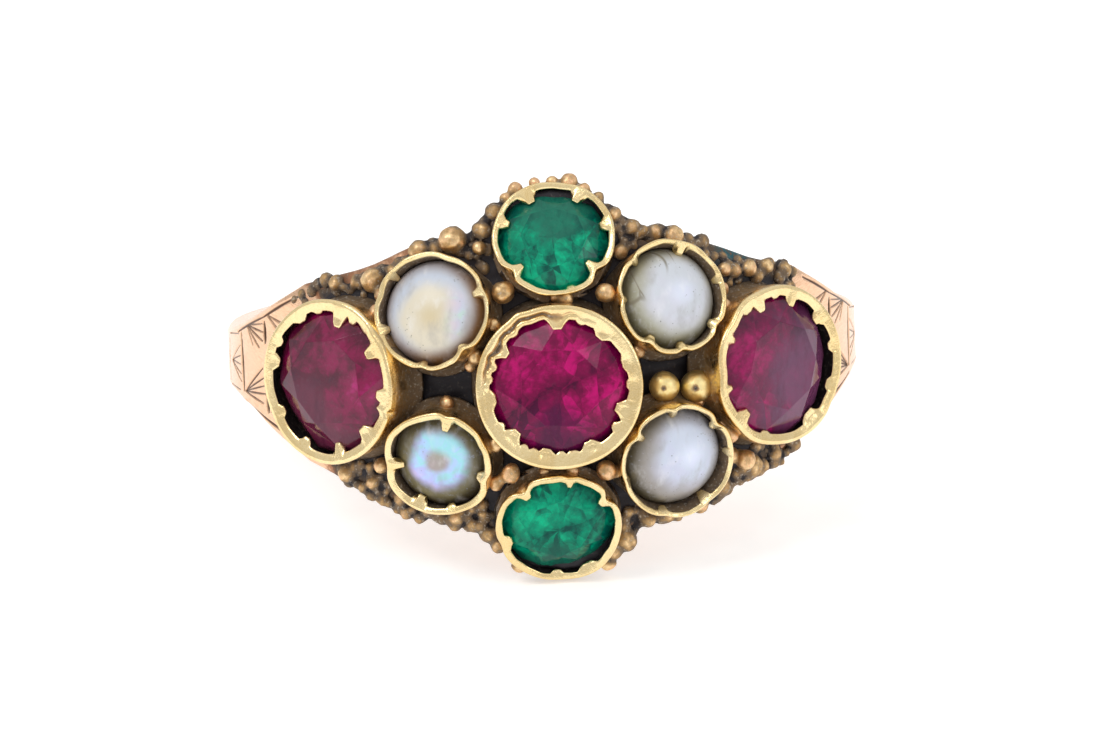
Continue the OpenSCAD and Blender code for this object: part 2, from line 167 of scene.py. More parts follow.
def to_frame(points):
    """Ring millimetres to metres in the shared frame."""
    return CENTRE + (np.asarray(points, float) * MM) @ BASIS


def to_ring(places):
    """Metres in the shared frame to ring millimetres."""
    return ((places - CENTRE) @ FROM_FRAME) / MM


def plate_dist(z):
    """Distance of the plate's face from the finger's axis."""
    share = np.maximum(0, (np.abs(z) - FLAT_HALF) / (PLATE_HALF - FLAT_HALF))
    return HOOP_R - (HOOP_R - EDGE_DIST) * share


def collet_axes(angle, height):
    """Origin and the right, up and outward directions of a collet in the ring frame."""
    lean = math.asin(height / DOME_R)
    turn = math.radians(angle)
    rim = RIM_DIST - DOME_R * (1 - math.cos(lean))
    out = np.array([math.sin(turn), -math.cos(turn), 0.0])
    side = np.array([math.cos(turn), math.sin(turn), 0.0])
    up = np.array([0, 0, math.cos(lean)]) - math.sin(lean) * out
    origin = rim * out + np.array([0, 0, height])
    return origin, side, up, math.cos(lean) * out + np.array([0, 0, math.sin(lean)])


def from_collet(axes, local):
    origin, side, up, out = axes
    local = np.asarray(local, float)
    return origin + local[:, :1] * side + local[:, 1:2] * up + local[:, 2:3] * out


def to_collet(axes, points):
    origin, side, up, out = axes
    return (np.asarray(points) - origin) @ np.array([side, up, out]).T


def ripple(theta, seed, size, orders):
    """Smooth closed wave round a circle, the same for the same seed."""
    rng = np.random.default_rng(seed)
    wave = sum(rng.normal() / math.sqrt(k) * np.cos(k * theta + rng.uniform(0, 6.28)) for k in orders)
    return size * wave / 1.5


def wrapped(angle):
    return (angle + math.pi) % (2 * math.pi) - math.pi


def bump(theta, degrees, half_width):
    """One rounded hump at an angle."""
    return np.exp(-(wrapped(theta - math.radians(degrees)) / math.radians(half_width)) ** 2)


def grid_faces(rows, cols, close_rows=True):
    """Quads of a grid of rows by cols points, closed round its columns."""
    a = np.arange(rows * cols).reshape(rows, cols)
    a = np.hstack([a, a[:, :1]])
    if close_rows:
        a = np.vstack([a, a[:1]])
    return np.stack([a[:-1, :-1], a[:-1, 1:], a[1:, 1:], a[1:, :-1]], -1).reshape(-1, 4)


def outward(points, faces):
    """Faces turned so that the closed mesh has a positive volume."""
    p = np.asarray(points)
    volume = 0.0
    for face in faces:
        a = p[face[0]]
        for k in range(1, len(face) - 1):
            volume += np.dot(a, np.cross(p[face[k]], p[face[k + 1]]))
    return [list(f)[::-1] for f in faces] if volume < 0 else [list(f) for f in faces]


def add_object(name, data):
    obj = bpy.data.objects.new(name, data)
    SCENE.collection.objects.link(obj)
    return obj


def store(mesh, field, values):
    """One number a point under a name."""
    layer = mesh.attributes.new(field, "FLOAT", "POINT")
    layer.data.foreach_set("value", np.asarray(values, float).ravel())


def new_mesh(name, points, faces, fields=None, flat=False):
    """Object with its place in its mesh and one number a point for every named field."""
    mesh = bpy.data.meshes.new(name)
    mesh.from_pydata(to_frame(points).tolist(), [], outward(points, faces))
    mesh.polygons.foreach_set("use_smooth", [not flat] * len(mesh.polygons))
    for field, values in (fields or {}).items():
        store(mesh, field, values)
    mesh.update()
    return add_object(name, mesh)


def read(items, field, width=3, kind=float):
    """One field of every vertex or edge, a row each."""
    values = np.empty(len(items) * width, kind)
    items.foreach_get(field, values)
    return values.reshape(-1, width)


def settle(obj, finish, node):
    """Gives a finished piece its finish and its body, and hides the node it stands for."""
    obj.data.materials.clear()
    obj.data.materials.append(finish.material)
    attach(obj, "root")
    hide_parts(node)


def baked(obj):
    """The object with its modifiers turned into plain mesh."""
    evaluated = obj.evaluated_get(bpy.context.evaluated_depsgraph_get())
    mesh = bpy.data.meshes.new_from_object(evaluated)
    obj.modifiers.clear()
    old = obj.data
    obj.data = mesh
    bpy.data.meshes.remove(old)
    return obj


# Finishes

class Field:
    """A number that varies over a surface, written with ordinary arithmetic."""

    def __init__(self, tree, socket):
        self.tree = tree
        self.socket = socket

    def math(self, operation, *terms, clamp=False):
        settings = {"operation": operation, "use_clamp": clamp}
        node = self.tree.add("ShaderNodeMath", settings, dict(enumerate(terms)))
        return Field(self.tree, node.outputs[0])

    def __add__(self, other):
        return self.math("ADD", self, other)

    def __sub__(self, other):
        return self.math("SUBTRACT", self, other)

    def __rsub__(self, other):
        return self.math("SUBTRACT", other, self)

    def __mul__(self, other):
        return self.math("MULTIPLY", self, other)

    def __truediv__(self, other):
        return self.math("DIVIDE", self, other)

    __radd__ = __add__
    __rmul__ = __mul__

    def root(self):
        return self.math("SQRT", self)

    def floor(self):
        return self.math("FLOOR", self)

    def clamped(self):
        return self.math("ADD", self, 0.0, clamp=True)

    def step(self, low, high, out_low=0.0, out_high=1.0):
        """Eased step from out_low at low to out_high at high."""
        node = self.tree.add("ShaderNodeMapRange", {"interpolation_type": "SMOOTHSTEP"}, {
            "Value": self, "From Min": low, "From Max": high, "To Min": out_low, "To Max": out_high})
        return Field(self.tree, node.outputs["Result"])


class Tree:
    """Adds nodes to one tree: settings first, then values or links of the sockets."""

    def __init__(self, tree):
        self.tree = tree

    def add(self, kind, settings=None, sockets=None):
        node = self.tree.nodes.new(kind)
        for name, value in (settings or {}).items():
            setattr(node, name, value)
        for name, value in (sockets or {}).items():
            self.put(node.inputs[name], value)
        return node

    def put(self, socket, value):
        value = getattr(value, "socket", value)
        if isinstance(value, bpy.types.NodeSocket):
            self.tree.links.new(value, socket)
        else:
            socket.default_value = value


class Finish(Tree):
    """One procedural material round a Principled shader."""

    def __init__(self, name, **even):
        self.material = bpy.data.materials.new(name)
        self.material.use_nodes = True
        super().__init__(self.material.node_tree)
        self.shader = self.tree.nodes["Principled BSDF"]
        for socket, value in even.items():
            self.shader.inputs[socket.replace("_", " ")].default_value = value
        place = self.add("ShaderNodeTexCoord").outputs["Object"]
        scaled = self.add("ShaderNodeVectorMath", {"operation": "SCALE"}, {0: place, "Scale": 1 / MM})
        self.place = scaled.outputs[0]

    def set(self, **varying):
        for socket, value in varying.items():
            self.put(self.shader.inputs[socket.replace("_", " ")], value)

    def noise(self, scale, detail, roughness=0.55, place=None, distortion=0.0):
        node = self.add("ShaderNodeTexNoise", {}, {
            "Vector": place or self.place, "Scale": scale, "Detail": detail, "Roughness": roughness,
            "Distortion": distortion})
        return Field(self, node.outputs["Fac"])

    def cells(self, scale, place=None, feature="F1", output="Distance"):
        node = self.add("ShaderNodeTexVoronoi", {"feature": feature}, {
            "Vector": place or self.place, "Scale": scale})
        return Field(self, node.outputs[output])

    def vector_math(self, operation, *terms):
        return self.add("ShaderNodeVectorMath", {"operation": operation}, dict(enumerate(terms))).outputs[0]

    def stretched(self, x, y, z, place=None):
        return self.vector_math("MULTIPLY", place or self.place, (x, y, z))

    def field(self, name):
        return Field(self, self.add("ShaderNodeAttribute", {"attribute_name": name}).outputs["Fac"])

    def vector(self, name):
        return self.add("ShaderNodeAttribute", {"attribute_name": name}).outputs["Vector"]

    def parts(self, vector):
        node = self.add("ShaderNodeSeparateXYZ", {}, {0: vector})
        return [Field(self, s) for s in node.outputs]

    def blend(self, share, first, second):
        """Colour between two colours."""
        node = self.add("ShaderNodeMix", {"data_type": "RGBA"}, {"Factor": share})
        for socket, value in zip([s for s in node.inputs if s.type == "RGBA"], (first, second)):
            self.put(socket, value)
        return next(s for s in node.outputs if s.type == "RGBA")

    def coats(self, colour, *coats):
        """Lays colours over the first one in turn, each by its own share."""
        for share, shade in coats:
            colour = self.blend(share, colour, shade)
        return colour

    def relief(self, height, distance, strength):
        """Raises the surface by a field, distance in millimetres."""
        node = self.add("ShaderNodeBump", {}, {
            "Height": height, "Distance": distance * MM, "Strength": strength})
        self.set(Normal=node.outputs[0])


def tone(r, g, b):
    """Linear colour from the screen values 0 to 255."""
    return tuple(((v / 255 + 0.055) / 1.055) ** 2.4 if v > 10 else v / 255 / 12.92 for v in (r, g, b)) + (1.0,)


def gold_finish(name, bright, dull, seed, gloss=0.2):
    """Gold that is clean on its high edges and blackens with the field grime_and_shade: grime and painted
    shade, darker in recesses and low down.
    """
    f = Finish(name, Metallic=1.0)
    spot = f.vector_math("ADD", f.place, (seed, 0, 0))
    patch = f.noise(2.2, 4.0, 0.62, spot)
    fine = f.noise(11.0, 5.0, 0.6, spot)
    scratch = f.noise(5.0, 2.0, 0.5, f.stretched(9.0, 1.0, 5.0, spot))
    grime_and_shade = (f.field("grime_and_shade") * 1.25 + (patch - 0.5) * 0.85 + (fine - 0.5) * 0.45 - 0.06).clamped()
    crust = fine.step(0.54, 0.68) * grime_and_shade.step(0.2, 0.4) * (1 - grime_and_shade.step(0.8, 1.1))
    worn = scratch.step(0.35, 0.7) * 0.6 + f.noise(0.9, 2.0, 0.5, spot).step(0.44, 0.58) * 0.4
    colour = f.coats(
        f.blend(worn, bright, dull),
        # Grime colours, which also paint shade in recesses and low down
        (grime_and_shade.step(0.12, 0.42), tone(188, 154, 108)),
        (grime_and_shade.step(0.36, 0.66), tone(128, 108, 86)),
        (grime_and_shade.step(0.66, 1.0), tone(46, 40, 42)),
        (crust * 0.65, tone(204, 192, 174)))
    f.set(Base_Color=colour, Metallic=1 - grime_and_shade.step(0.25, 0.8) * 0.75 - crust * 0.4,
          Roughness=gloss + (scratch - 0.5) * 0.12 + grime_and_shade.step(0.1, 0.6) * 0.3)
    f.relief(fine * 0.5 + scratch * 0.25 + patch, 0.03, 0.5)
    return f


def hoop_finish():
    """Worn rose gold with bright-cut lines painted dark, dirt and painted shade in the cuts, going over to a
    plate darkened by tarnish and painted shade.
    """
    f = Finish("rose_gold", Metallic=1.0)
    patch = f.noise(1.6, 5.0, 0.62)
    fine = f.noise(9.0, 5.0, 0.62)
    scratch = f.noise(4.0, 2.0, 0.5, f.stretched(1.2, 1.2, 14.0))
    grime_and_shade = (f.field("grime_and_shade") * 1.3 + (patch - 0.5) * 0.5 + (fine - 0.5) * 0.4 - 0.12).clamped()
    crust = fine.step(0.56, 0.7) * grime_and_shade.step(0.3, 0.5) * (1 - grime_and_shade.step(0.7, 1.0))
    cut = f.field("cut")
    colour = f.coats(
        tone(246, 206, 172),
        (scratch.step(0.3, 0.75), tone(232, 182, 144)),
        (patch.step(0.5, 0.75) * 0.5, tone(218, 172, 132)),
        # Bright-cut lines painted dark: dirt and painted shade in the cuts
        (cut.step(0.08, 0.6) * 0.95, tone(74, 50, 38)),
        # Grime with painted shade on the plate between the collets
        (grime_and_shade.step(0.1, 0.4), tone(168, 120, 90)),
        (grime_and_shade.step(0.42, 0.66), tone(96, 80, 66)),
        (grime_and_shade.step(0.66, 0.9), tone(40, 36, 42)),
        (fine.step(0.56, 0.74) * grime_and_shade.step(0.66, 0.9) * 0.4, tone(112, 106, 98)),
        (f.field("teal") * fine.step(0.36, 0.5), tone(52, 96, 104)),
        (crust * 0.6, tone(186, 172, 152)))
    f.set(Base_Color=colour, Metallic=1 - grime_and_shade.step(0.3, 0.9) * 0.7 - crust * 0.2,
          Roughness=0.2 + (scratch - 0.5) * 0.1 + grime_and_shade.step(0.1, 0.7) * 0.38 + cut * 0.2)
    f.relief(fine * 0.5 + scratch * 0.2, 0.02, 0.4)
    return f


def gem_finish(name, seed, tones, lit, cloud, star, table_reflection, mirror):
    """Cut stone painted opaque: painted light and shade of its back facets in sectors, broken where the crown's
    facets shift them, a painted reflection of the table, painted shade towards the girdle, and scuffs.
    """
    deep, body, glow, glint = tones
    f = Finish(name, Metallic=0.0, IOR=1.6, Specular_IOR_Level=mirror)
    inner = f.vector("inner")
    wobble = f.add("ShaderNodeTexNoise", {}, {"Vector": inner, "Scale": 2.6, "Detail": 2.0}).outputs["Color"]
    wobble = f.vector_math("MULTIPLY_ADD", wobble, (0.3, 0.3, 0.0), inner)
    u, v, _ = f.parts(wobble)
    turn = u.math("ARCTAN2", v - 0.15, u - 0.15) / (2 * math.pi)
    reach = (u * u + v * v).root()
    sector = (turn * BACK_FACETS + BACK_FACETS / 2).floor()
    band = (reach * 3.4 + 0.35).floor()
    cell = f.add("ShaderNodeCombineXYZ", {}, {0: sector + seed, 1: band * 3.7 + seed}).outputs[0]
    cell = f.add("ShaderNodeTexWhiteNoise", {"noise_dimensions": "2D"}, {"Vector": cell}).outputs["Value"]
    shards = f.cells(3.4, f.stretched(1.0, 1.0, 0.0, wobble), output="Color")
    mottle = f.noise(3.2, 4.0, 0.6, inner)
    # Painted light of the back facets, lighter towards the side painted lit
    slope = (u * math.cos(lit) + v * math.sin(lit)) * 0.3
    light = (Field(f, cell) * star + shards * (star + 0.06) + mottle * 1.1 + slope - 0.19 - star).clamped()
    # Painted reflection of the table: a tone laid over a patch of the stone
    shade, (middle_u, middle_v), size, share = table_reflection
    du, dv = u - middle_u, v - middle_v
    streak = f.noise(4.0, 4.0, 0.65, f.stretched(2.6, 0.8, 1.0, inner))
    far = (du * du + dv * dv).root() + (mottle - 0.5) * 0.5
    scuff = f.noise(7.0, 6.0, 0.7)
    painted_reflection = (1 - far.step(size * 0.55, size * 1.25)) * streak.step(0.2, 0.6, 0.5, 1.0) * share
    # From painted shade through the body colour to a painted glint, then the painted reflection, painted shade
    # towards the girdle, and scuffs
    colour = f.coats(
        deep,
        (light.step(0.1, 0.48), body),
        (light.step(0.4, 0.68), glow),
        (light.step(0.68, 0.9), glint),
        (painted_reflection, shade),
        (reach.step(0.84, 1.0) * 0.6, deep),
        (scuff.step(0.5, 0.78) * cloud, tone(128, 122, 132)))
    f.set(Base_Color=colour, Roughness=0.05 + scuff.step(0.45, 0.8) * (0.12 + cloud * 0.4))
    f.relief(scuff, 0.004, 0.35)
    return f


def pearl_finish(name, core, middle, edge, rim, centre, heart, zone, sheen, side, dark, cracks, seed):
    """Half pearl: tones from its bright spot outwards, the nacre's own uneven tones with a painted highlight
    and painted shade, painted shade on one side of the rim, a painted sheen of play of colour, cracks, specks.
    """
    f = Finish(name, IOR=1.5, Coat_Weight=0.25, Coat_Roughness=0.25)
    spot = f.vector("inner")
    soft = f.noise(1.1 + seed * 0.05, 3.0, 0.55, spot)
    x, y, _ = f.parts(spot)
    dx, dy = x - centre[0], y - centre[1]
    reach = (dx * dx + dy * dy).root() + (soft - 0.5) * 0.4
    outer = (x * x + y * y).root() + (soft - 0.5) * 0.12
    # Painted sheen: a play of colour over the nacre
    hue = f.noise(2.2, 2.0, 0.5, f.stretched(1.0, 1.3, 1.0, spot), 0.6) * 0.45 + (x + y) * side[2] + 0.3
    play = f.add("ShaderNodeValToRGB", {}, {"Fac": hue})
    stops = [(0.38, tone(214, 190, 248)), (0.46, tone(188, 190, 255)), (0.52, tone(176, 216, 255)),
             (0.58, tone(146, 234, 230)), (0.66, tone(186, 222, 250))]
    ramp = play.color_ramp
    while len(ramp.elements) < len(stops):
        ramp.elements.new(0.5)
    for element, (where, shade) in zip(ramp.elements, stops):
        element.position = where
        element.color = shade
    gleam = sheen * (1 - outer.step(zone[0] + 0.15, zone[1] + 0.1)) * x.step(*side[:2])
    # Side where the rim gets its painted shade
    lean = x * dark[0] + y * dark[1]
    fine = f.noise(9.0, 5.0, 0.65)
    blotch = f.noise(1.4, 4.0, 0.6, f.stretched(1.3, 0.7, 1.0, spot))
    specks = (1 - f.cells(8.0).step(0.1, 0.2)) * f.noise(1.3, 2.0, 0.5).step(0.5, 0.62)
    seam = f.cells(1.6, f.stretched(1.0, 0.55, 1.0, spot), "DISTANCE_TO_EDGE")
    crack = (1 - seam.step(0.004, 0.035)) * cracks * (y - x).step(0.5, 0.8)
    # From the bright spot outwards: the nacre's own tones with a painted highlight and painted shade, and
    # painted shade at one side of the rim
    colour = f.coats(
        core,
        (reach.step(0.0, 0.45), middle),
        (gleam, play.outputs["Color"]),
        ((1 - reach.step(0.12, 0.34)) * heart, core),
        (reach.step(*zone), edge),
        (outer.step(0.7, 1.0) * lean.step(-0.6, 0.6, 0.4, 1.0), rim),
        (fine.step(0.56, 0.75) * 0.3, middle),
        (blotch.step(0.5, 0.72) * 0.46, tone(158, 154, 150)),
        ((1 - blotch.step(0.28, 0.46)) * 0.35, tone(244, 244, 246)),
        (specks * 0.6, tone(74, 66, 54)),
        (crack, tone(120, 112, 92)))
    f.set(Base_Color=colour, Roughness=0.36 + fine * 0.2)
    f.relief(fine * 0.3 + soft - crack * 0.4 - specks * 0.5, 0.02, 0.4)
    return f


# Pieces

def stone_height(stone, pearl, rise, r):
    """Height of the stone's face at radius r, over the rim."""
    if not pearl:
        return GIRDLE_TOP + np.maximum(0, stone - r) * CROWN
    bulge = pearl + rise - 0.12
    return rise - bulge + bulge * np.maximum(0, 1 - (np.minimum(r, stone) / stone) ** 2) ** 0.6


def make_collet(name, seed):
    """One scalloped collet, a closed loft of rings: up inside, over the rim and claws, down outside."""
    (angle, height, rim, edge, stone, pearl, rise), claws, dents = COLLETS[name]
    axes = collet_axes(angle, height)
    theta = np.arange(COLLET_SIDES) * 2 * math.pi / COLLET_SIDES
    thick = rim - edge
    heavy = thick > 0.3
    plain = rim + ripple(theta, seed, 0.012 if heavy else 0.022, (2, 3, 4, 6, 9))
    outer = plain
    for at, dent, width in dents:
        outer = outer - dent * bump(theta, at, width)
    broad = thick * 1.1 + (0.07 if rim > 2.2 else 0.025)
    wide = (thick if heavy else broad) + ripple(theta, seed + 7, 0.03, (3, 5, 8, 14, 22))
    root = outer - np.maximum(wide, 0.12)

    # Claws: how far each reaches in over its stone, and the dimple punched in it
    reach, pit = np.zeros((2, len(theta)))
    for at, tip, width, *dimple in claws:
        across = np.abs(wrapped(theta - math.radians(at))) * edge / (width * 0.66)
        shape = np.clip(1.12 - across ** 1.8, 0, 1) + 0.1 * np.exp(-(across / 1.5) ** 2)
        reach = np.maximum(reach, np.maximum(root - tip * rim + 0.06, 0.1) * np.minimum(1, shape))
        pit = np.maximum(pit, len(dimple) * np.exp(-(across / 0.6) ** 4))
    weight = np.clip(reach / 0.22, 0, 1)
    inner = root - reach
    crest = ripple(theta, seed + 3, 0.018 if heavy else 0.035, (2, 3, 5, 9, 15))
    lies = stone_height(stone, pearl, rise, inner)
    tip_top = (1 - weight) * (crest - 0.05) + weight * np.minimum(lies + 0.13, crest - 0.02)
    tip_low = np.where(weight > 0, tip_top - 0.05 - 0.04 * weight, tip_top - 0.08)

    # Rings of radius, height and grime with painted shade, darker inside the cup, under the claw tips, in the
    # dimples and groove and down the outer wall; the dents are pinched into the rim only
    cup = stone * WIDER + CUP_ROOM
    seat = np.minimum(cup, plain - 0.17)
    wall = np.maximum(root + 0.02, np.minimum(cup, outer - 0.07))
    depth = RIM_DIST - DOME_R * (1 - math.cos(math.asin(height / DOME_R))) - float(plate_dist(height))
    dark = 0.7 if pearl else 1.0
    rings = [(seat, -depth + 0.05, dark), (seat, -0.9, dark), (seat, -0.45, 0.95 * dark),
             (wall, np.minimum(crest - 0.16, tip_low - 0.02), 0.82 * dark), (inner + 0.04, tip_low, 0.35),
             (inner, (tip_top + tip_low) / 2, 0.15), (inner + 0.015, tip_top - 0.012, 0.0)]
    over = outer - np.minimum(thick, 0.22) * 0.5
    for share in (0.1, 0.22, 0.34, 0.46, 0.58, 0.68, 0.76, 0.84, 0.93):
        hollow = pit * 0.06 * math.exp(-((share - 0.4) / 0.26) ** 2) * weight
        groove = 0.0
        if name == "ruby_centre":
            groove = 0.13 * math.exp(-((share - 0.58) / 0.16) ** 2)
            groove = groove * np.clip(1.6 * bump(theta, 128, 40), 0, 1)
        z = tip_top + (crest - tip_top) * share ** 0.7 - hollow - groove
        # Dimples and the groove painted darker: grime and painted shade
        rings.append((inner + 0.02 + (over - inner - 0.02) * share, z, 3.0 * hollow + 5.0 * groove))
    rings += [(over, crest, 0.0), (outer - 0.035, crest - 0.012, 0.0), (outer - 0.008, crest - 0.045, 0.02),
              (outer, crest - 0.1, 0.08)]
    slim = 0.12 if pearl else 0.1 if heavy else 0.16
    for share in (0.1, 0.2, 0.32, 0.46, 0.6, 0.75, 0.88, 0.96, 1.0):
        drop = 0.1 + depth * share
        below = plain + (outer - plain) * max(0.0, 1.3 - drop / 0.3)
        rough = ripple(theta, seed + 11 + int(share * 20), 0.02, (4, 7, 12, 19))
        r = below - slim * min(1.0, share * 1.6) + 0.16 * share ** 6 + rough
        # The outer wall darkens towards its foot: grime and painted shade
        rings.append((r, crest * (1 - share) - drop, 0.16 + 0.5 * share ** 0.8))

    points, grime_and_shade = [], []
    for r, z, soot_and_shade in rings:
        points.append(from_collet(axes, np.stack([r * np.cos(theta), r * np.sin(theta), z + 0 * theta], 1)))
        grime_and_shade.append(soot_and_shade + 0 * theta)
    faces = grid_faces(len(rings), len(theta))
    return new_mesh("collet_" + name, np.vstack(points), faces, {"grime_and_shade": grime_and_shade})


def give_inner(obj, axes, radius, bend):
    """Stores on every corner the place seen inside the stone: its own place, shifted by its facet's tilt."""
    mesh = obj.data
    local = to_collet(axes, to_ring(read(mesh.vertices, "co"))) / radius
    corners = np.empty((len(mesh.loops), 3))
    for face in mesh.polygons:
        facing = np.array(face.normal) @ FROM_FRAME
        shift = bend * np.array([facing @ axes[1], facing @ axes[2], 0.0])
        for k in face.loop_indices:
            corners[k] = local[mesh.loops[k].vertex_index] - shift
    mesh.attributes.new("inner", "FLOAT_VECTOR", "CORNER").data.foreach_set("vector", corners.ravel())


def make_stone(name, table_share, turn, flats, seed):
    """Worn round brilliant: table, stars, kites, halves, girdle and pointed back."""
    (angle, height, _, _, radius, _, _), _, _ = COLLETS[name]
    radius *= WIDER
    axes = collet_axes(angle, height)
    rng = np.random.default_rng(seed)
    n = CROWN_SIDES
    step = math.pi / n

    def outline(a):
        return radius * (1 + sum(-depth * float(bump(np.array(a), at, width)) for at, depth, width in flats))

    def ring(m, r, z, offset):
        angles = [turn + offset + 2 * math.pi * i / m + rng.normal() * 0.02 for i in range(m)]
        return [(outline(a) * r * math.cos(a), outline(a) * r * math.sin(a), z + rng.normal() * 0.004)
                for a in angles]

    table_z = GIRDLE_TOP + (1 - table_share) * radius * CROWN
    kite = (1 + table_share) / 2 / math.cos(step)
    kite_z = table_z + (GIRDLE_TOP - table_z) * (kite * math.cos(step) - table_share) / (1 - table_share)
    table = [(x, y, table_z) for x, y, _ in ring(n, table_share, 0, 0)]
    points = table + ring(n, kite, kite_z, step) + ring(2 * n, 1, GIRDLE_TOP, 0)
    points += [(x, y, GIRDLE_TOP - GIRDLE) for x, y, _ in points[2 * n:4 * n]]
    points += [(0.0, 0.0, GIRDLE_TOP - GIRDLE - BACK_DEPTH * radius)]
    k, top, base, culet = n, 2 * n, 4 * n, 6 * n
    faces = [list(range(n))]
    for i in range(n):
        faces += [[k + i, (i + 1) % n, i], [k + (i - 1) % n, top + 2 * i, k + i, i],
                  [top + 2 * i, top + 2 * i + 1, k + i],
                  [top + 2 * i + 1, top + (2 * i + 2) % (2 * n), k + i]]
    for j in range(2 * n):
        after = (j + 1) % (2 * n)
        faces += [[base + j, base + after, top + after, top + j], [culet, base + after, base + j]]
    obj = new_mesh("cut_" + name, from_collet(axes, points), faces, flat=True)
    bevel = obj.modifiers.new("worn edges", "BEVEL")
    bevel.width = 0.014 * MM
    bevel.segments = 2
    bevel.limit_method = "ANGLE"
    bevel.angle_limit = math.radians(4)
    baked(obj)
    give_inner(obj, axes, radius, 0.55)
    return obj


def make_pearl(name, seed):
    """Half pearl: an uneven dome on a flat base."""
    (angle, height, _, _, radius, pearl, rise), _, _ = COLLETS[name]
    axes = collet_axes(angle, height)
    count, shells = PEARL_SIDES, PEARL_SHELLS
    theta = np.arange(count) * 2 * math.pi / count
    spread = (radius + 0.09) * (1 + ripple(theta, seed, 0.012, (2, 3)))
    points = [(0.0, 0.0, rise)]
    for i in range(1, shells + 1):
        share = math.sin(math.pi / 2 * i / shells)
        r = spread * share
        z = stone_height(radius, pearl, rise, np.full(count, radius * share))
        lumps = np.cos(2.1 * r * np.cos(theta + seed)) * np.cos(2.4 * r * np.sin(theta)) - 1
        z = z + 0.03 * lumps * (1 - share)
        points += np.stack([r * np.cos(theta), r * np.sin(theta), z], 1).tolist()
    points += np.stack([spread * np.cos(theta), spread * np.sin(theta), 0 * theta - pearl], 1).tolist()
    points.append((0.0, 0.0, -pearl))
    faces = (grid_faces(shells + 1, count, close_rows=False) + 1).tolist()
    last = len(points) - 1
    faces += [[0, 1 + (i + 1) % count, 1 + i] for i in range(count)]
    faces += [[last, last - count + i, last - count + (i + 1) % count] for i in range(count)]
    obj = new_mesh("nacre_" + name, from_collet(axes, points), faces)
    give_inner(obj, axes, radius, 0.0)
    return obj


def half_width(turn):
    """Half of the width of the hoop and plate at an angle from the head, in radians."""
    x = np.abs(HOOP_R * np.sin(turn))
    y = -HOOP_R * np.cos(turn)
    front_x = [0, 1, 1.6, 2.3, 4.3, 6.15, 7.5, 8.4, 9.5]
    front_h = [5.75, 5.65, 5.35, 4.5, 4.1, 3.25, 2.7, 1.95, 0.95]
    side_y = [-9.5, -8, -7.2, -6.2, -4.8, -3.25, -1.65, 0, 10.5]
    side_h = [6.4, 6.4, 4.2, 3.1, 2.15, 1.5, 1.1, 0.95, 0.9]
    front = np.where(y < 0, np.interp(x, front_x, front_h), 9.0)
    return np.minimum(front, np.interp(y, side_y, side_h))


def stroke_depth(turn, z):
    """How deep the engraving is at a place of the shoulders, 0 to 1."""
    deep = np.zeros_like(z)
    for a0, z0, a1, z1, width in STROKES:
        for side in (1, -1):
            wave = 0.0 if side == 1 else 0.05
            p = np.stack([turn * HOOP_R, z], -1)
            a = np.array([side * math.radians(a0) * HOOP_R, z0 + wave])
            b = np.array([side * math.radians(a1) * HOOP_R, z1 + wave])
            along = np.clip(((p - a) @ (b - a)) / np.dot(b - a, b - a), 0, 1)
            far = np.linalg.norm(p - a - along[..., None] * (b - a), axis=-1)
            half = width / 2 * (0.35 + 0.65 * np.sin(math.pi * np.clip(along * 0.9 + 0.05, 0, 1)))
            deep = np.maximum(deep, np.clip(1 - far / (half + 0.012), 0, 1) * min(1, 0.45 + width * 3.5))
    return deep


